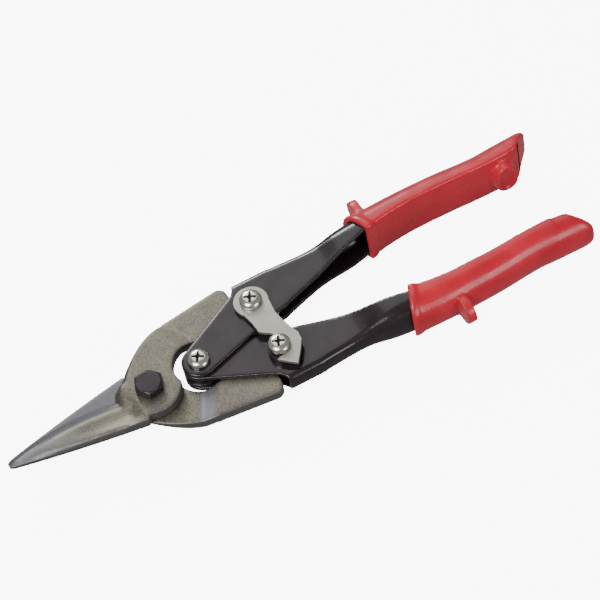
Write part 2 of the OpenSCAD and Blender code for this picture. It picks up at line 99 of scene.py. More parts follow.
class Shader:
    """A material's node tree around one principled shader."""

    def __init__(self, name: str) -> None:
        """Start an empty material.

        Args:
            name: name of the material.
        """
        self.material = bpy.data.materials.new(name)
        self.material.use_nodes = True
        self.tree = self.material.node_tree
        self.tree.nodes.clear()
        self.output = self.add("ShaderNodeOutputMaterial")
        self.principled = self.add("ShaderNodeBsdfPrincipled")
        self.link(self.principled.outputs[0], self.output.inputs[0])
        self.coords = self.add("ShaderNodeTexCoord").outputs["Object"]

    def add(self, kind: str) -> bpy.types.Node:
        """Add a node of the given kind."""
        return self.tree.nodes.new(kind)

    def link(self, a: bpy.types.NodeSocket, b: bpy.types.NodeSocket) -> None:
        """Join an output socket to an input socket."""
        self.tree.links.new(a, b)

    def value(self, **sockets: object) -> None:
        """Set uniform values on the shader's own sockets; underscores stand for blanks."""
        for key, val in sockets.items():
            self.principled.inputs[key.replace("_", " ")].default_value = val

    def noise(self, scale: float, detail: float, rough: float) -> bpy.types.NodeSocket:
        """Noise on object coordinates.

        Args:
            scale: cells per metre.
            detail: octaves.
            rough: weight of the finer octaves.

        Returns:
            The factor socket.
        """
        node = self.add("ShaderNodeTexNoise")
        node.inputs["Scale"].default_value = scale
        node.inputs["Detail"].default_value = detail
        node.inputs["Roughness"].default_value = rough
        self.link(self.coords, node.inputs["Vector"])
        return node.outputs["Fac"]

    def ramp(self, factor: bpy.types.NodeSocket,
             stops: list[tuple[float, tuple[float, float, float]]]) -> bpy.types.NodeSocket:
        """Colours over a factor.

        Args:
            factor: socket between 0 and 1.
            stops: positions and colours, in order.

        Returns:
            The colour socket.
        """
        node = self.add("ShaderNodeValToRGB")
        ramp = node.color_ramp
        while len(ramp.elements) < len(stops):
            ramp.elements.new(0.5)
        for element, (pos, colour) in zip(ramp.elements, stops):
            element.position = pos
            element.color = (*colour, 1.0)
        self.link(factor, node.inputs["Fac"])
        return node.outputs["Color"]

    def window(self, factor: bpy.types.NodeSocket,
               stops: tuple[float, float, float, float]) -> bpy.types.NodeSocket:
        """Share that rises from 0 to 1 between two stops and falls back between two more."""
        return self.ramp(factor, list(zip(stops, (BLACK, WHITE, WHITE, BLACK))))

    def spread(self, factor: bpy.types.NodeSocket, low: float, high: float,
               start: float = 0.3, end: float = 0.7) -> bpy.types.NodeSocket:
        """Number that runs with a factor.

        Args:
            factor: the socket to follow.
            low: number where the factor is at its start.
            high: number where the factor is at its end.
            start: start of the factor.
            end: end of the factor.

        Returns:
            The number's socket.
        """
        node = self.add("ShaderNodeMapRange")
        limits = {"From Min": start, "From Max": end, "To Min": low, "To Max": high}
        for name, val in limits.items():
            node.inputs[name].default_value = val
        self.link(factor, node.inputs["Value"])
        return node.outputs["Result"]

    def mix(self, factor: bpy.types.NodeSocket | float, a: bpy.types.NodeSocket | tuple,
            b: bpy.types.NodeSocket | tuple, blend: str = "MIX") -> bpy.types.NodeSocket:
        """Mix two colours.

        Args:
            factor: share of the second colour.
            a: first colour or socket.
            b: second colour or socket.
            blend: how they mix.

        Returns:
            The colour socket.
        """
        node = self.add("ShaderNodeMix")
        node.data_type = "RGBA"
        node.blend_type = blend
        for index, val in ((0, factor), (6, a), (7, b)):
            if isinstance(val, bpy.types.NodeSocket):
                self.link(val, node.inputs[index])
            elif isinstance(val, tuple):
                node.inputs[index].default_value = (*val, 1.0)
            else:
                node.inputs[index].default_value = val
        return node.outputs[2]

    def leaning(self, normal: str, axis: str) -> bpy.types.NodeSocket:
        """How far a surface faces along an axis, either way, from 0 to 1.

        Args:
            normal: which normal of the surface is measured.
            axis: X, Y or Z.

        Returns:
            The number's socket.
        """
        geometry = self.add("ShaderNodeNewGeometry")
        split = self.add("ShaderNodeSeparateXYZ")
        self.link(geometry.outputs[normal], split.inputs[0])
        size = self.add("ShaderNodeMath")
        size.operation = "ABSOLUTE"
        self.link(split.outputs[axis], size.inputs[0])
        return size.outputs[0]

    def facing_up(self) -> bpy.types.NodeSocket:
        """1 where a surface faces the front or the back of the tool, 0 on its walls."""
        return self.spread(self.leaning("True Normal", "Z"), 0.0, 1.0, 0.25, 0.75)

    def along(self, direction: tuple[float, float, float]) -> bpy.types.NodeSocket:
        """Distance of a point along a direction, in metres."""
        node = self.add("ShaderNodeVectorMath")
        node.operation = "DOT_PRODUCT"
        node.inputs[1].default_value = direction
        self.link(self.coords, node.inputs[0])
        return node.outputs["Value"]

    def slanting(self) -> bpy.types.NodeSocket:
        """Share of a ground bevel, full where a face leans sideways by 28 degrees or more."""
        return self.spread(self.leaning("Normal", "Y"), 0.0, 0.85, 0.30, 0.46)

    def bump(self, height: bpy.types.NodeSocket, depth: float) -> None:
        """Relief from a height socket, depth in metres; a second call adds to the first."""
        node = self.add("ShaderNodeBump")
        node.inputs["Strength"].default_value = 1.0
        node.inputs["Distance"].default_value = depth
        self.link(height, node.inputs["Height"])
        normal = self.principled.inputs["Normal"]
        if normal.is_linked:
            self.link(normal.links[0].from_socket, node.inputs["Normal"])
        self.link(node.outputs["Normal"], normal)

    def colour(self, socket: bpy.types.NodeSocket) -> None:
        """Drive the base colour."""
        self.link(socket, self.principled.inputs["Base Color"])

    def roughness(self, socket: bpy.types.NodeSocket) -> None:
        """Drive the roughness."""
        self.link(socket, self.principled.inputs["Roughness"])


@dataclass(frozen=True)
class BlastedSteel:
    """Forging blasted to a warm grain, cooler where it is ground, with painted shade making its
    walls darker.

    Scales are in cells per metre and spans in metres of the part's frame. A window holds
    the four shares of its span between which the ground steel, or the painted highlight
    across the tail, appears and fades again.
    """

    name: str = "blasted steel"
    light: tuple[float, float, float] = (0.265, 0.247, 0.202)
    dark: tuple[float, float, float] = (0.115, 0.105, 0.080)
    # Painted shade: faces that do not face up take this plainer, darker wall colour
    wall: tuple[float, float, float] = (0.20, 0.19, 0.19)
    cool_cloud: tuple[float, float, float] = (0.80, 0.80, 0.84)
    warm_cloud: tuple[float, float, float] = (1.0, 1.0, 0.95)
    cloud: float = 70.0
    grain: float = 1900.0
    relief: float = 0.00006
    ground: tuple[float, float, float] = (0.17, 0.17, 0.192)
    ground_dark: float = 0.75
    tip_gain: float = 1.5
    tip_share: float = 0.75
    tip_span: tuple[float, float] = (0.090, 0.124)
    nose_share: float = 0.9
    nose_span: tuple[float, float] = (0.066, 0.072)
    inner_span: tuple[float, float] = (0.0105, 0.0125)
    inner_window: tuple[float, float, float, float] = (0.28, 0.36, 0.64, 0.72)
    # Painted highlight: a brighter, bluer strip across the tail's ramp
    ramp_highlight: tuple[float, float, float] = (0.32, 0.32, 0.375)
    ramp_highlight_share: float = 0.0
    ramp_highlight_span: tuple[float, float] = (0.018, 0.029)
    ramp_highlight_window: tuple[float, float, float, float] = (0.14, 0.30, 0.60, 0.84)
    pivot_run: float = 0.0563
    side: float = 1.0

    def with_ramp_highlight(self, s: Shader, colour: bpy.types.NodeSocket) -> bpy.types.NodeSocket:
        """Add a painted highlight across the tail, where its top face drops.

        Args:
            s: the material's shader.
            colour: colour without the band.

        Returns:
            The colour socket.
        """
        run = s.along((TAIL_RUN[0], TAIL_RUN[1] * self.side, 0.0))
        start, end = (reach - self.pivot_run for reach in self.ramp_highlight_span)
        strip = s.window(s.spread(run, 0.0, 1.0, start, end), self.ramp_highlight_window)
        return s.mix(s.spread(strip, 0.0, self.ramp_highlight_share, 0.0, 1.0), colour, self.ramp_highlight)

    def make(self) -> bpy.types.Material:
        """Build the material."""
        s = Shader(self.name)
        grain = s.noise(self.grain, 3.0, 0.75)
        cloud = s.noise(self.cloud, 3.0, 0.6)
        colour = s.ramp(grain, [(0.36, self.dark), (0.60, self.light)])
        tone = s.ramp(cloud, [(0.3, self.cool_cloud), (0.7, self.warm_cloud)])
        colour = s.mix(1.0, colour, tone, "MULTIPLY")
        dim = tuple(self.ground_dark * c for c in self.ground)
        fine = s.ramp(grain, [(0.3, dim), (0.7, self.ground)])
        # The nose is ground brighter and cooler towards its tip
        tip = s.spread(s.along(TO_TIPS), 0.0, self.tip_share, *self.tip_span)
        colour = s.mix(tip, colour, tuple(self.tip_gain * c for c in self.ground))
        colour = s.mix(s.slanting(), colour, fine)
        # The flat inner face of the nose is ground too, up to the boss
        level = s.spread(s.along(UPWARDS), 0.0, 1.0, *self.inner_span)
        level = s.window(level, self.inner_window)
        nose = s.spread(s.along(TO_TIPS), 0.0, self.nose_share, *self.nose_span)
        colour = s.mix(s.mix(nose, BLACK, level), colour, fine)
        # Painted highlight across the tail's ramp, where the top face drops
        if self.ramp_highlight_share:
            colour = self.with_ramp_highlight(s, colour)
        # Painted shade: walls that do not face up get the wall colour instead of the grain
        s.colour(s.mix(s.facing_up(), self.wall, colour))
        s.roughness(s.spread(grain, 0.36, 0.56))
        s.bump(grain, self.relief)
        s.value(Metallic=0.9)
        return s.material


@dataclass(frozen=True)
class GlossPaint:
    """Thick glossy enamel with a slight orange peel."""

    name: str = "black enamel"
    base: tuple[float, float, float] = (0.016, 0.010, 0.013)
    rough: float = 0.20
    cloud: float = 160.0
    peel: float = 420.0
    peel_depth: float = 0.00004

    def make(self) -> bpy.types.Material:
        """Build the material."""
        s = Shader(self.name)
        cloud = s.noise(self.cloud, 2.0, 0.5)
        pale = tuple(1.5 * c for c in self.base)
        s.colour(s.ramp(cloud, [(0.35, self.base), (0.7, pale)]))
        s.roughness(s.spread(cloud, self.rough - 0.03, self.rough + 0.06))
        s.bump(s.noise(self.peel, 1.0, 0.4), self.peel_depth)
        s.value(Metallic=0.0, Specular_IOR_Level=0.42, Coat_Weight=0.2, Coat_Roughness=0.06)
        return s.material


@dataclass(frozen=True)
class PlatedMetal:
    """Plated or bare metal with fine rubbing marks."""

    name: str
    light: tuple[float, float, float]
    dark: tuple[float, float, float]
    rough: float
    rub: float = 900.0
    cloud: float = 220.0
    relief: float = 0.000004
    metallic: float = 1.0

    def make(self) -> bpy.types.Material:
        """Build the material."""
        s = Shader(self.name)
        rub = s.noise(self.rub, 3.0, 0.6)
        cloud = s.noise(self.cloud, 2.0, 0.5)
        s.colour(s.ramp(cloud, [(0.3, self.dark), (0.7, self.light)]))
        s.roughness(s.spread(rub, self.rough - 0.05, self.rough + 0.07))
        s.bump(rub, self.relief)
        s.value(Metallic=self.metallic)
        return s.material


@dataclass(frozen=True)
class SoftVinyl:
    """Dipped red vinyl with a satin skin."""

    name: str = "red vinyl"
    base: tuple[float, float, float] = (0.66, 0.014, 0.036)
    deep: tuple[float, float, float] = (0.50, 0.008, 0.022)
    rough: float = 0.27
    cloud: float = 70.0
    wear: float = 130.0
    relief: float = 0.0004

    def make(self) -> bpy.types.Material:
        """Build the material."""
        s = Shader(self.name)
        cloud = s.noise(self.cloud, 3.0, 0.5)
        s.colour(s.ramp(cloud, [(0.3, self.deep), (0.7, self.base)]))
        wear = s.noise(self.wear, 3.0, 0.6)
        s.roughness(s.spread(wear, self.rough - 0.06, self.rough + 0.12))
        s.bump(s.noise(self.cloud, 0.0, 0.5), self.relief)
        s.value(Metallic=0.0, Specular_IOR_Level=0.55, Sheen_Weight=0.18, Sheen_Roughness=0.4)
        return s.material


@dataclass(frozen=True)
class Floor:
    """Plain pale studio floor."""

    name: str = "pale floor"
    tone: tuple[float, float, float] = (0.93, 0.93, 0.93)
    glow: float = 8.0

    def make(self) -> bpy.types.Material:
        """Build the material."""
        s = Shader(self.name)
        s.value(Base_Color=(*self.tone, 1.0), Roughness=0.9, Specular_IOR_Level=0.2,
                Emission_Color=(1.0, 1.0, 1.0, 1.0), Emission_Strength=self.glow)
        return s.material


@dataclass
class Finishes:
    """Every finish of the tool, made once."""

    steel: bpy.types.Material = field(default_factory=lambda: BlastedSteel().make())
    # The rear blade carries a painted highlight across its tail's ramp
    rear_steel: bpy.types.Material = field(default_factory=lambda: BlastedSteel(
        "blasted steel with a painted ramp highlight", ramp_highlight_share=0.60, side=-1.0).make())
    paint: bpy.types.Material = field(default_factory=lambda: GlossPaint().make())
    vinyl: bpy.types.Material = field(default_factory=lambda: SoftVinyl().make())
    nickel: bpy.types.Material = field(default_factory=lambda: PlatedMetal(
        "bright nickel", (0.80, 0.77, 0.70), (0.66, 0.63, 0.56), 0.20).make())
    # Painted shade: the cross recess of each screw is painted dark
    recess: bpy.types.Material = field(default_factory=lambda: PlatedMetal(
        "painted recess shade", (0.10, 0.085, 0.060), (0.05, 0.043, 0.032), 0.5,
        metallic=0.5).make())
    satin: bpy.types.Material = field(default_factory=lambda: PlatedMetal(
        "satin nickel", (0.42, 0.40, 0.36), (0.37, 0.352, 0.315), 0.42).make())
    zinc: bpy.types.Material = field(default_factory=lambda: PlatedMetal(
        "zinc plate", (0.58, 0.57, 0.55), (0.48, 0.47, 0.46), 0.34).make())
    oxide: bpy.types.Material = field(default_factory=lambda: PlatedMetal(
        "black oxide", (0.034, 0.029, 0.034), (0.022, 0.018, 0.022), 0.30,
        relief=0.000001, metallic=0.45).make())
    wire: bpy.types.Material = field(default_factory=lambda: PlatedMetal(
        "drawn wire", (0.42, 0.41, 0.40), (0.33, 0.32, 0.31), 0.32).make())


# ------------------------------------------------------------------ mesh helpers


def piece_from(name: str, bm: bmesh.types.BMesh, finish: bpy.types.Material) -> bpy.types.Object:
    """Turn a bmesh into a linked object with one finish.

    Args:
        name: name of the piece.
        bm: its mesh, freed here.
        finish: its material.

    Returns:
        The new object.
    """
    mesh = bpy.data.meshes.new(name)
    bm.to_mesh(mesh)
    bm.free()
    mesh.materials.append(finish)
    obj = bpy.data.objects.new(name, mesh)
    bpy.context.scene.collection.objects.link(obj)
    return obj


def smooth_shaded(obj: bpy.types.Object, angle: float) -> None:
    """Shade an object smooth, with edges sharper than an angle in degrees kept sharp."""
    obj.data.shade_smooth()
    obj.data.set_sharp_from_angle(angle=math.radians(angle))


def apply_modifiers(obj: bpy.types.Object) -> None:
    """Replace an object's mesh by the result of its modifiers."""
    graph = bpy.context.evaluated_depsgraph_get()
    finished = bpy.data.meshes.new_from_object(obj.evaluated_get(graph), depsgraph=graph)
    obj.modifiers.clear()
    old = obj.data
    obj.data = finished
    bpy.data.meshes.remove(old)


def merged_copy(name: str, node: bpy.types.Object, weld: float,
                finish: bpy.types.Material) -> bpy.types.Object:
    """Welded copy of a CAD node, with the flat faces made whole.

    Args:
        name: name of the copy.
        node: the CAD node.
        weld: distance under which points become one, in metres.
        finish: material of the copy.

    Returns:
        The copy.
    """
    bm = bmesh.new()
    bm.from_mesh(node.data)
    bmesh.ops.remove_doubles(bm, verts=bm.verts, dist=weld)
    bmesh.ops.dissolve_limit(bm, angle_limit=math.radians(FLAT_ANGLE), verts=bm.verts,
                             edges=bm.edges, delimit=set())
    for face in bm.faces:
        face.material_index = 0
    return piece_from(name, bm, finish)


def softened(name: str, node: bpy.types.Object, body: Body,
             finish: bpy.types.Material, width: float, limit: float = 50.0,
             weld: float = WELD) -> bpy.types.Object:
    """Copy of a CAD node with rounded edges, which stands for it.

    Args:
        name: name of the piece.
        node: the CAD node.
        body: body it moves with.
        finish: its material.
        width: width of the rounding, in metres.
        limit: edges sharper than this angle are rounded, in degrees.
        weld: distance under which points become one, in metres.

    Returns:
        The piece.
    """
    obj = merged_copy(name, node, weld, finish)
    bevel = obj.modifiers.new("rounding", "BEVEL")
    bevel.width = width
    bevel.segments = ROUNDING_STEPS
    bevel.limit_method = "ANGLE"
    bevel.angle_limit = math.radians(limit)
    bevel.use_clamp_overlap = False
    bevel.miter_outer = "MITER_ARC"
    apply_modifiers(obj)
    smooth_shaded(obj, 32.0)
    weighted = obj.modifiers.new("shading", "WEIGHTED_NORMAL")
    weighted.keep_sharp = True
    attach(obj, body.value)
    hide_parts(node.name)
    log.info("%s rounded by %.2f mm", name, width / MM)
    return obj


@dataclass(frozen=True)
class SoftSpot:
    """Box in which a skin is relaxed, in millimetres from the main pivot."""

    low: tuple[float, float, float]
    high: tuple[float, float, float]
    rounds: int
    turned: bool = False

    def inside(self, bm: bmesh.types.BMesh) -> list[bmesh.types.BMVert]:
        """Vertices in the box, or in its copy turned over about the tool's length."""
        flip = -1.0 if self.turned else 1.0
        found = []
        for vert in bm.verts:
            p = (vert.co - PIVOT) / MM
            spot = (p.x, p.y * flip, p.z * flip)
            if all(lo < c < hi for lo, c, hi in zip(self.low, spot, self.high)):
                found.append(vert)
        return found


def skinned(name: str, node: bpy.types.Object, finish: bpy.types.Material, voxel: float,
            relax: int, spots: tuple[SoftSpot, ...] = (),
            carve: Callable[[Vector], Vector] | None = None) -> bpy.types.Object:
    """Copy of a CAD node with an even skin, relaxed all over and more so in places.

    Args:
        name: name of the piece.
        node: the CAD node.
        finish: its material.
        voxel: size of the skin's faces, in metres.
        relax: rounds of relaxing all over.
        spots: places that are relaxed further.
        carve: moves a point of the skin, in millimetres from the main pivot.

    Returns:
        The piece, which rides on nothing yet.
    """
    obj = merged_copy(name, node, WELD, finish)
    remesh = obj.modifiers.new("skin", "REMESH")
    remesh.mode = "VOXEL"
    remesh.voxel_size = voxel
    apply_modifiers(obj)
    bm = bmesh.new()
    bm.from_mesh(obj.data)
    if carve:
        for vert in bm.verts:
            vert.co = place(*carve((vert.co - PIVOT) / MM))
    calm = [vert for vert in bm.verts if vert.calc_shell_factor() < CALM_SHELL]
    for verts, rounds in [(bm.verts[:], relax), (calm, CALM_ROUNDS),
                          *((s.inside(bm), s.rounds) for s in spots)]:
        for _ in range(rounds):
            bmesh.ops.smooth_vert(bm, verts=verts, factor=0.5, use_axis_x=True,
                                  use_axis_y=True, use_axis_z=True)
    bm.to_mesh(obj.data)
    bm.free()
    obj.data.shade_smooth()
    log.info("%s has %d faces", name, len(obj.data.polygons))
    return obj


def ease(value: float, start: float, end: float) -> float:
    """Smooth step from 0 at start to 1 at end."""
    t = min(1.0, max(0.0, (value - start) / (end - start)))
    return t * t * (3.0 - 2.0 * t)


def drawn_in(p: Vector, side: float) -> Vector:
    """Let a handle lean a little towards the other one behind its shank.

    Args:
        p: a point, in millimetres from the main pivot.
        side: 1 for the upper handle, -1 for the lower one.

    Returns:
        The point moved.
    """
    return Vector((p.x, p.y - side * HANDLE_LEAN * ease(p.x, *LEAN_SPAN), p.z))


def dress(node: bpy.types.Object, finish: bpy.types.Material) -> None:
    """Give a CAD node its finish."""
    node.data.materials.clear()
    node.data.materials.append(finish)


# ------------------------------------------------------------------ sub-assemblies


@dataclass
class Blades:
    """The two forged blades and the bolt that joins them.

    Places and sizes are in millimetres from the main pivot, for the blade that is not
    turned over; the voxel is in metres.
    """

    voxel: float = 0.36 * MM
    relax: int = 3
    tail_centre: tuple[float, float] = (28.9, -23.6)
    tail_radius: float = 50.0
    chamfer: float = 3.0
    chamfer_stop: float = 17.25
    chamfer_low: float = 6.0
    chamfer_band: float = 0.45
    chamfer_slack: float = 0.3
    front_fade: tuple[float, float] = (-16.0, 8.0)
    rear_fade: tuple[float, float] = (-8.0, 15.0)
    tail_swell: float = 0.7
    swell_out: tuple[float, float] = (13.0, 22.0)
    swell_back: tuple[float, float] = (-6.0, 8.0)
    boss_radius: float = 13.0
    boss_wall: float = 0.6
    boss_flare: float = 2.6
    flare_ahead: tuple[float, float] = (4.0, 8.0)
    flare_rise: tuple[float, float] = (-1.0, 2.0)
    flare_fall: tuple[float, float] = (6.0, 9.5)
    thickness: float = 5.0
    tail_top: float = 3.55
    ramp_start: float = 21.3
    ramp_length: float = 6.0
    crease_from: tuple[float, float] = (23.3, 19.5)
    crease_to: tuple[float, float] = (23.8, 14.0)
    crease_depth: float = 0.35
    crease_width: float = 0.45
    crease_above: float = 2.5
    tip_start: float = -61.6
    tip_end: float = -64.25
    tip_middle: float = -0.9
    tip_narrowing: float = 0.93
    tip_thinning: float = 0.35
    scoop_at: tuple[float, float] = (-12.8, -5.0)
    scoop_spread: tuple[float, float] = (4.5, 3.6)
    scoop_depth: float = 1.1
    scoop_above: float = 2.0
    scoop_end: float = -9.5
    bolt_rounding: float = 0.25
    nut_rounding: float = 0.2

    def tail_height(self, p: Vector) -> float:
        """Height of the tail's top face, which drops along a ramp."""
        run = TAIL_RUN[0] * p.x + TAIL_RUN[1] * p.y - self.ramp_start
        drop = (self.thickness - self.tail_top) * min(1.0, max(0.0, run / self.ramp_length))
        return self.thickness - drop

    def faded_chamfer(self, p: Vector, fade: tuple[float, float]) -> Vector:
        """Let the chamfer of the tail's outer edge run out over x instead of ending at once."""
        dx, dy = p.x - self.tail_centre[0], p.y - self.tail_centre[1]
        radius = math.hypot(dx, dy)
        lost = self.thickness - self.tail_height(p)
        inner = self.tail_radius - self.chamfer
        lowest = self.thickness - self.chamfer - self.chamfer_slack
        if p.x > self.chamfer_stop or p.y < self.chamfer_low or p.z < lowest:
            return p
        off_face = abs(radius + p.z - inner - self.thickness)
        if off_face > self.chamfer_band or radius < inner + lost - self.chamfer_slack:
            return p
        cut = self.chamfer - lost
        depth = cut * (1.0 - ease(p.x, *fade))
        side = cut - depth
        along = min(1.0, max(0.0, (radius - self.tail_radius + cut) / cut))
        run = along * (2.0 * side + math.sqrt(2.0) * depth)
        top = min(run, side)
        slope = min(max(run - side, 0.0), math.sqrt(2.0) * depth) / math.sqrt(2.0)
        wall = max(run - side - math.sqrt(2.0) * depth, 0.0)
        new = self.tail_radius - cut + top + slope
        return Vector((self.tail_centre[0] + dx * new / radius,
                       self.tail_centre[1] + dy * new / radius,
                       self.thickness - lost - slope - wall))

    def rounded_tip(self, p: Vector) -> Vector:
        """Round the tip of the nose."""
        if p.x > self.tip_start:
            return p
        t = min(1.0, (self.tip_start - p.x) / (self.tip_start - self.tip_end))
        narrow = math.sqrt(max(0.0, 1.0 - self.tip_narrowing * t * t))
        return Vector((p.x, self.tip_middle + (p.y - self.tip_middle) * narrow,
                       p.z * (1.0 - self.tip_thinning * t * t)))

    def sloped_boss(self, p: Vector) -> Vector:
        """Let the boss run down to the ground face in a soft flare instead of a wall."""
        radius = math.hypot(p.x, p.y)
        if abs(radius - self.boss_radius) > self.boss_wall:
            return p
        share = (ease(-p.x, *self.flare_ahead) * ease(p.y, *self.flare_rise)
                 * (1.0 - ease(p.y, *self.flare_fall)))
        if not share:
            return p
        new = radius + share * self.boss_flare * (1.0 - p.z / self.thickness) ** 2
        return Vector((p.x * new / radius, p.y * new / radius, p.z))

    def scooped(self, p: Vector) -> Vector:
        """Deepen the hollow where the nose meets the boss."""
        if p.z < self.scoop_above or p.x > self.scoop_end:
            return p
        reach = math.exp(-0.5 * (((p.x - self.scoop_at[0]) / self.scoop_spread[0]) ** 2
                                 + ((p.y - self.scoop_at[1]) / self.scoop_spread[1]) ** 2))
        return Vector((p.x, p.y, p.z - self.scoop_depth * reach))

    def creased(self, p: Vector) -> Vector:
        """Press a short forging crease into the tail's top face."""
        if p.z < self.crease_above:
            return p
        start, end = Vector(self.crease_from), Vector(self.crease_to)
        line = end - start
        share = min(1.0, max(0.0, (p.xy - start).dot(line) / line.length_squared))
        gap = (p.xy - start - line * share).length
        depth = self.crease_depth * math.exp(-(gap / self.crease_width) ** 2)
        return Vector((p.x, p.y, p.z - depth))

    def carved(self, p: Vector, turned: bool) -> Vector:
        """Forged details of a point of a blade.

        Args:
            p: the point.
            turned: whether its blade is turned over.

        Returns:
            The point moved.
        """
        flip = Vector((1.0, -1.0, -1.0) if turned else (1.0, 1.0, 1.0))
        fade = self.rear_fade if turned else self.front_fade
        moved = self.sloped_boss(self.rounded_tip(self.faded_chamfer(p * flip, fade)))
        moved = self.creased(self.scooped(moved))
        if not turned:
            share = ease(moved.y, *self.swell_out) * ease(moved.x, *self.swell_back)
            moved.y += self.tail_swell * share
        return moved * flip

    def forging(self, name: str, node: bpy.types.Object, body: Body, turned: bool,
                finish: bpy.types.Material) -> None:
        """Blade with forged, soft edges and a hollow that blends into the nose.

        Args:
            name: name of the piece.
            node: the CAD blade.
            body: body it moves with.
            turned: whether the blade is the one that is turned over.
            finish: its material.
        """
        spots = (SoftSpot((-61.0, -12.5, 2.4), (-7.5, 3.5, 9.0), 130, turned),
                 SoftSpot((-14.0, -3.0, 0.8), (-6.0, 8.5, 9.0), 50, turned))
        obj = skinned(name, node, finish, self.voxel, self.relax, spots,
                      partial(self.carved, turned=turned))
        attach(obj, body.value)
        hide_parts(node.name)

    def build(self, nodes: dict[str, bpy.types.Object], finishes: Finishes) -> None:
        """Dress the blades, the bolt, its washer and its nut.

        Args:
            nodes: the CAD nodes by name.
            finishes: the finishes.
        """
        self.forging("front_blade_forging", nodes["front_blade"], Body.FRONT_BLADE, False,
                     finishes.steel)
        self.forging("rear_blade_forging", nodes["rear_blade"], Body.REAR_BLADE, True,
                     finishes.rear_steel)
        softened("main_bolt", nodes["pivot_bolt"], Body.REAR_BLADE,
                 finishes.oxide, self.bolt_rounding * MM, limit=25.0)
        softened("main_nut", nodes["pivot_nut"], Body.REAR_BLADE,
                 finishes.oxide, self.nut_rounding * MM, limit=25.0)
        dress(nodes["pivot_washer"], finishes.zinc)


@dataclass
class Handles:
    """The two bent channels; the voxel is in metres, the rest in millimetres."""

    voxel: float = 0.40 * MM
    relax: int = 7
    tuck_start: float = 178.0
    tuck_share: float = 0.5

    def tucked(self, p: Vector, side: float) -> Vector:
        """Draw a channel's end back into its sleeve; side is 1 for the upper handle."""
        over = max(0.0, p.x - self.tuck_start)
        leaning = drawn_in(p, side)
        return Vector((p.x - self.tuck_share * over, leaning.y, p.z))

    def build(self, nodes: dict[str, bpy.types.Object], finishes: Finishes) -> None:
        """Dress both channels.

        Args:
            nodes: the CAD nodes by name.
            finishes: the finishes.
        """
        for name, node, body, side in (
                ("upper_channel", "upper_handle", Body.UPPER_HANDLE, 1.0),
                ("lower_channel", "lower_handle", Body.LOWER_HANDLE, -1.0)):
            obj = skinned(name, nodes[node], finishes.paint, self.voxel, self.relax,
                          carve=partial(self.tucked, side=side))
            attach(obj, body.value)
            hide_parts(node)


@dataclass
class Grips:
    """The two dipped sleeves with their collars, guards and pad."""

    voxel: float = 0.40 * MM
    relax: int = 4
    round_end: tuple[SoftSpot, ...] = (
        SoftSpot((174.0, -60.0, -12.0), (200.0, 0.0, 12.0), 90),)

    def build(self, nodes: dict[str, bpy.types.Object], finishes: Finishes) -> None:
        """Build both sleeves.

        Args:
            nodes: the CAD nodes by name.
            finishes: the finishes.
        """
        for name, node, body in (("upper_sleeve", "upper_grip", Body.UPPER_HANDLE),
                                 ("lower_sleeve", "lower_grip", Body.LOWER_HANDLE)):
            lower = body is Body.LOWER_HANDLE
            spots, side = (self.round_end, -1.0) if lower else ((), 1.0)
            obj = skinned(name, nodes[node], finishes.vinyl, self.voxel, self.relax, spots,
                          partial(drawn_in, side=side))
            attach(obj, body.value)
            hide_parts(node)


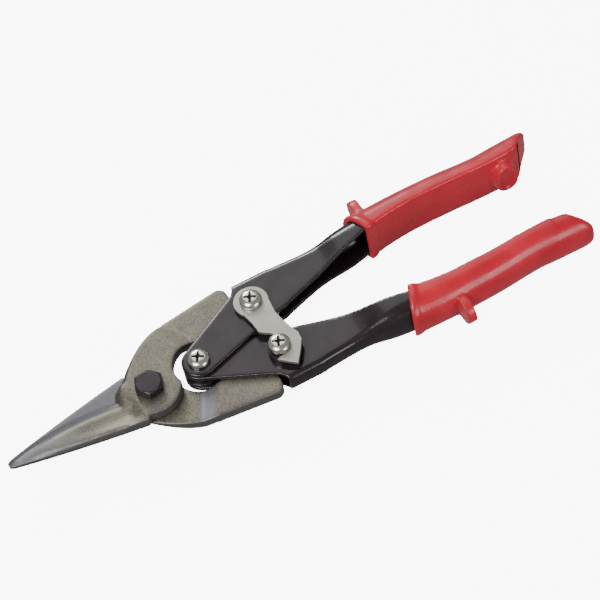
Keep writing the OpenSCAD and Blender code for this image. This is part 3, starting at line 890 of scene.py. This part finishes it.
@dataclass
class CrossScrew:
    """Domed screw with a cross recess, seat at its origin, shank downwards."""

    shank_length: float
    head_radius: float = 4.7 * MM
    head_height: float = 3.1 * MM
    rim: float = 1.1 * MM
    shank_radius: float = 2.5 * MM
    slot_span: float = 5.6 * MM
    slot_width: float = 1.10 * MM
    slot_depth: float = 2.2 * MM
    dome_flat: float = 1.6 * MM
    rim_chamfer: float = 0.25 * MM
    end_chamfer: float = 0.3 * MM
    span_taper: tuple[float, float] = (0.35, 1.12)
    width_taper: tuple[float, float] = (0.75, 1.05)
    clear_above: float = 0.4 * MM
    cone_radii: tuple[float, float] = (0.35 * MM, 1.25 * MM)
    cone_extra: float = 0.6 * MM
    cone_raise: float = 0.1 * MM
    recess_margin: float = 0.4 * MM
    recess_floor: float = 0.3 * MM
    plated_skin: float = 0.22 * MM
    soft_edge: float = 0.10 * MM
    steps: int = 64

    def profile(self) -> list[tuple[float, float]]:
        """Radius and height of the outline, from the dome's middle to the shank's end."""
        rise = self.head_height - self.rim
        arc = [math.radians(a) for a in range(0, 91, 10)]
        flat, round_part = self.dome_flat, self.head_radius - self.dome_flat
        dome = [(flat + round_part * math.sin(a), self.rim + rise * math.cos(a)) for a in arc]
        return [(0.0, self.head_height), *dome, (self.head_radius, self.rim_chamfer),
                (self.head_radius - self.rim_chamfer, 0.0), (self.shank_radius, 0.0),
                (self.shank_radius, -self.shank_length + self.end_chamfer),
                (self.shank_radius - self.end_chamfer, -self.shank_length),
                (0.0, -self.shank_length)]

    def body(self) -> bmesh.types.BMesh:
        """Turned head and shank without the recess."""
        bm = bmesh.new()
        verts = [bm.verts.new((r, 0.0, z)) for r, z in self.profile()]
        edges = [bm.edges.new(pair) for pair in zip(verts, verts[1:])]
        bmesh.ops.spin(bm, geom=[*verts, *edges], cent=(0, 0, 0), axis=(0, 0, 1),
                       angle=math.tau, steps=self.steps, use_merge=True)
        bmesh.ops.remove_doubles(bm, verts=bm.verts, dist=1e-6)
        bmesh.ops.recalc_face_normals(bm, faces=bm.faces)
        return bm

    def wing(self, bm: bmesh.types.BMesh, turn: float) -> None:
        """Tapered bar across the head, one arm pair of the recess."""
        made = bmesh.ops.create_cube(bm, size=1.0)["verts"]
        for vert in made:
            above = vert.co.z > 0
            vert.co.x *= self.slot_span * self.span_taper[above]
            vert.co.y *= self.slot_width * self.width_taper[above]
            vert.co.z = self.head_height + (self.clear_above if above else -self.slot_depth)
        bmesh.ops.rotate(bm, verts=made, cent=(0, 0, 0), matrix=Matrix.Rotation(turn, 3, "Z"))

    def cutter(self, turn: float) -> bmesh.types.BMesh:
        """Mesh that cuts the recess: two crossed wings and a cone, turned in degrees."""
        bm = bmesh.new()
        self.wing(bm, math.radians(turn))
        self.wing(bm, math.radians(turn + 90))
        low, high = self.cone_radii
        cone = bmesh.ops.create_cone(bm, segments=24, cap_ends=True, radius1=low,
                                     radius2=high,
                                     depth=self.slot_depth + self.cone_extra)["verts"]
        middle = self.head_height - self.slot_depth / 2 + self.cone_raise
        bmesh.ops.translate(bm, verts=cone, vec=(0, 0, middle))
        return bm

    def in_recess(self, spot: Vector) -> bool:
        """Whether a point of the head lies inside the recess, under the plated dome."""
        reach = math.hypot(spot.x, spot.y)
        share = max(0.0, reach - self.dome_flat) / (self.head_radius - self.dome_flat)
        rise = (self.head_height - self.rim) * math.sqrt(max(0.0, 1.0 - share ** 2))
        near = reach < 0.5 * self.slot_span + self.recess_margin
        return near and self.recess_floor < spot.z < self.rim + rise - self.plated_skin

    def build(self, name: str, seat: Vector, turn: float, body: Body, slot: str,
              node: bpy.types.Object, finish: bpy.types.Material,
              shade: bpy.types.Material) -> bpy.types.Object:
        """Make the screw in place of its CAD node.

        Args:
            name: name of the piece.
            seat: place of the head's seat, in the part's frame.
            turn: turn of the recess, in degrees.
            body: body it moves with.
            slot: not used.
            node: the CAD screw it stands for.
            finish: its material.
            shade: material of the recess, painted dark as the shade inside it.

        Returns:
            The piece.
        """
        obj = piece_from(name, self.body(), finish)
        cutter = piece_from(name + "_cutter", self.cutter(turn), finish)
        cut = obj.modifiers.new("recess", "BOOLEAN")
        cut.operation = "DIFFERENCE"
        cut.solver = "EXACT"
        cut.use_self = True
        cut.object = cutter
        soft = obj.modifiers.new("soft edge", "BEVEL")
        soft.width = self.soft_edge
        soft.segments = 2
        soft.limit_method = "ANGLE"
        soft.angle_limit = math.radians(40)
        apply_modifiers(obj)
        bpy.data.objects.remove(cutter)
        obj.data.materials.append(shade)
        # Faces inside the recess take the dark finish as painted shade
        for face in obj.data.polygons:
            if self.in_recess(face.center):
                face.material_index = 1
        obj.data.transform(Matrix.Translation(seat))
        smooth_shaded(obj, 38.0)
        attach(obj, body.value)
        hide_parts(node.name)
        log.info("%s seated at %s", name, tuple(round(c, 4) for c in seat))
        return obj


@dataclass
class LinkPivots:
    """The three handle screws with their nuts and bushes, the latch and its barrel.

    Places and sizes are in millimetres from the main pivot, the latch's weld in metres.
    """

    hinge: tuple[float, float] = (22.4, 0.0)
    link: tuple[float, float] = (53.0, 12.85)
    plate_top: float = 5.6
    latch_seat: float = 8.0
    under_upper: float = -3.5
    under_lower: float = -5.6
    nut_height: float = 3.9
    proud: float = 0.4
    latch_rounding: float = 0.28
    latch_weld: float = 0.00005
    barrel_rounding: float = 0.25

    def screws(self, nodes: dict[str, bpy.types.Object], finishes: Finishes) -> None:
        """Make the three cross-recess screws."""
        deep = self.nut_height + self.proud
        rows = (
            ("hinge_cross_screw", self.hinge, self.plate_top, self.under_lower, 58.0,
             Body.LOWER_HANDLE, "hinge_screw"),
            ("upper_cross_screw", self.link, self.latch_seat, self.under_upper, 63.0,
             Body.UPPER_HANDLE, "upper_link_screw"),
            ("lower_cross_screw", (self.link[0], -self.link[1]), self.latch_seat,
             self.under_lower, 66.0, Body.LOWER_HANDLE, "lower_link_screw"),
        )
        for name, (x, y), seat, under, turn, body, node in rows:
            length = (seat - under + deep) * MM
            CrossScrew(length).build(name, place(x, y, seat), turn, body, "nickel",
                                     nodes[node], finishes.nickel, finishes.recess)

    def build(self, nodes: dict[str, bpy.types.Object], finishes: Finishes) -> None:
        """Build the screws and the latch, and dress what stays hidden.

        Args:
            nodes: the CAD nodes by name.
            finishes: the finishes.
        """
        self.screws(nodes, finishes)
        softened("latch_hook", nodes["latch"], Body.LATCH, finishes.satin,
                 self.latch_rounding * MM, weld=self.latch_weld)
        softened("latch_barrel_turned", nodes["latch_barrel"], Body.LOWER_HANDLE,
                 finishes.oxide, self.barrel_rounding * MM)
        for name in ("hinge_nut", "upper_link_nut", "lower_link_nut", "latch_washer",
                     "hinge_sleeve", "upper_link_bush", "lower_link_bush"):
            dress(nodes[name], finishes.zinc)


@dataclass
class ReturnSpring:
    """Torsion spring in two halves that meet in the middle of the coil.

    Places and sizes are in millimetres from the main pivot.
    """

    wire: float = 0.62
    coil: float = 5.4
    rise: float = 0.68
    hinge_x: float = 22.4
    near_knee: tuple[float, float] = (33.4, 1.1)
    far_knee: tuple[float, float] = (57.0, 3.4)
    arm_end: tuple[float, float] = (82.0, 22.9)
    steps: int = 48
    sides: int = 12

    def path(self) -> list[Vector]:
        """Points of the upper half, from the middle of the coil to the end of its arm."""
        reach = self.near_knee[0] - self.hinge_x
        leave = (math.atan2(self.near_knee[1], reach)
                 + math.acos(self.coil / math.hypot(reach, self.near_knee[1])))
        start, end = -math.tau, leave - 2 * math.tau
        points = []
        for i in range(self.steps + 1):
            t = i / self.steps
            a = start * (1 - t) + end * t
            points.append(Vector((self.hinge_x + self.coil * math.cos(a),
                                  self.coil * math.sin(a), self.rise * t)))
        for x, y in (self.near_knee, self.far_knee, self.arm_end):
            points.append(Vector((x, y, self.rise)))
        return points

    def half(self, name: str, points: list[Vector], body: Body,
             finish: bpy.types.Material) -> bpy.types.Object:
        """Sweep round wire along points.

        Args:
            name: name of the piece.
            points: centreline in millimetres from the main pivot.
            body: body it moves with.
            finish: its material.

        Returns:
            The piece.
        """
        bm = bmesh.new()
        ring = bmesh.ops.create_circle(bm, cap_ends=True, radius=self.wire * MM,
                                       segments=self.sides)
        verts = ring["verts"]
        axis = Vector((0, 0, 1))
        here = Vector((0, 0, 0))
        for i, point in enumerate(points):
            before, after = points[max(0, i - 1)], points[min(len(points) - 1, i + 1)]
            ahead = (after - before).normalized()
            if i:
                edges = list({e for v in verts for e in v.link_edges
                              if all(w in verts for w in e.verts)})
                grown = bmesh.ops.extrude_edge_only(bm, edges=edges)["geom"]
                verts = [g for g in grown if isinstance(g, bmesh.types.BMVert)]
            there = place(*point)
            bmesh.ops.translate(bm, verts=verts, vec=there - here)
            bmesh.ops.rotate(bm, verts=verts, cent=there,
                             matrix=axis.rotation_difference(ahead).to_matrix())
            axis, here = ahead, there
        bmesh.ops.contextual_create(bm, geom=[e for e in bm.edges if e.is_boundary])
        bmesh.ops.recalc_face_normals(bm, faces=bm.faces)
        obj = piece_from(name, bm, finish)
        smooth_shaded(obj, 50.0)
        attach(obj, body.value)
        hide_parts("return_spring")
        log.info("%s swept along %d points", name, len(points))
        return obj

    def build(self, finishes: Finishes) -> None:
        """Build both halves.

        Args:
            finishes: the finishes.
        """
        upper = self.path()
        lower = [Vector((p.x, -p.y, -p.z)) for p in upper]
        self.half("upper_spring_half", upper, Body.UPPER_HANDLE, finishes.wire)
        self.half("lower_spring_half", lower, Body.LOWER_HANDLE, finishes.wire)


# ------------------------------------------------------------------ studio


@dataclass(frozen=True)
class Softbox:
    """Square area light that faces the tool: place and side in metres, power in watts."""

    name: str
    spot: tuple[float, float, float]
    size: float
    power: float

    def build(self) -> None:
        """Hang the light."""
        data = bpy.data.lights.new(self.name, "AREA")
        data.shape, data.size, data.energy = "SQUARE", self.size, self.power
        obj = bpy.data.objects.new(self.name, data)
        aim = Vector(self.spot).to_track_quat("Z", "Y").to_matrix().to_4x4()
        obj.matrix_world = Matrix.Translation(self.spot) @ aim
        bpy.context.scene.collection.objects.link(obj)


@dataclass
class Studio:
    """Floor, soft lights, surroundings and camera.

    Angles are in radians, distances in metres, the lens and its sensor in millimetres.
    """

    turn: float = 0.28884
    tilt: float = 0.936389
    roll: float = 0.237066
    distance: float = 1.0449
    shift_right: float = -0.059506
    shift_up: float = -0.037551
    lens: float = 156.0
    sensor: float = 36.0
    clip: tuple[float, float] = (0.01, 20.0)
    floor_reach: float = 3.0
    world: float = 0.27
    softboxes: tuple[Softbox, ...] = (
        Softbox("broad_softbox", (0.20, 0.67, 0.98), 0.8, 2.6),
        Softbox("key_softbox", (-0.70, -0.30, 1.00), 0.6, 13.0),
        Softbox("front_fill", (0.50, -1.10, 0.45), 0.6, 6.0),
        Softbox("rear_strip", (0.10, 1.10, 0.60), 0.35, 7.0))

    def camera(self) -> None:
        """Set the camera on its tripod."""
        st, ct = math.sin(self.turn), math.cos(self.turn)
        se, ce = math.sin(self.tilt), math.cos(self.tilt)
        level, rising = Vector((ct, -st, 0)), Vector((st * se, ct * se, ce))
        back = Vector((-st * ce, -ct * ce, se))
        right = level * math.cos(self.roll) - rising * math.sin(self.roll)
        up = level * math.sin(self.roll) + rising * math.cos(self.roll)
        spot = PIVOT - right * self.shift_right - up * self.shift_up + back * self.distance
        data = bpy.data.cameras.new("studio_camera")
        data.lens, data.sensor_width = self.lens, self.sensor
        data.clip_start, data.clip_end = self.clip
        obj = bpy.data.objects.new("studio_camera", data)
        turn = Matrix((right, up, back)).transposed()
        obj.matrix_world = Matrix.Translation(spot) @ turn.to_4x4()
        bpy.context.scene.collection.objects.link(obj)
        bpy.context.scene.camera = obj

    def floor(self) -> None:
        """Lay the floor."""
        bm = bmesh.new()
        bmesh.ops.create_grid(bm, x_segments=1, y_segments=1, size=self.floor_reach)
        floor = piece_from("studio_floor", bm, Floor().make())
        # The glow keeps the floor pale without lighting the tool from below
        floor.visible_diffuse = False
        floor.visible_glossy = False

    def surroundings(self) -> None:
        """Light the room evenly."""
        world = bpy.data.worlds.new("studio_room")
        world.use_nodes = True
        back = world.node_tree.nodes["Background"]
        back.inputs["Color"].default_value = (*WHITE, 1.0)
        back.inputs["Strength"].default_value = self.world
        bpy.context.scene.world = world

    def build(self) -> None:
        """Build the whole studio."""
        self.camera()
        self.floor()
        self.surroundings()
        for light in self.softboxes:
            light.build()


def main() -> None:
    """Build every piece in order."""
    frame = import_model()
    nodes = frame["nodes"]
    finishes = Finishes()
    Studio().build()
    Blades().build(nodes, finishes)
    Handles().build(nodes, finishes)
    Grips().build(nodes, finishes)
    LinkPivots().build(nodes, finishes)
    ReturnSpring().build(finishes)


if __name__ == "__main__":
    logging.basicConfig(level=logging.INFO, format="%(message)s")
    main()
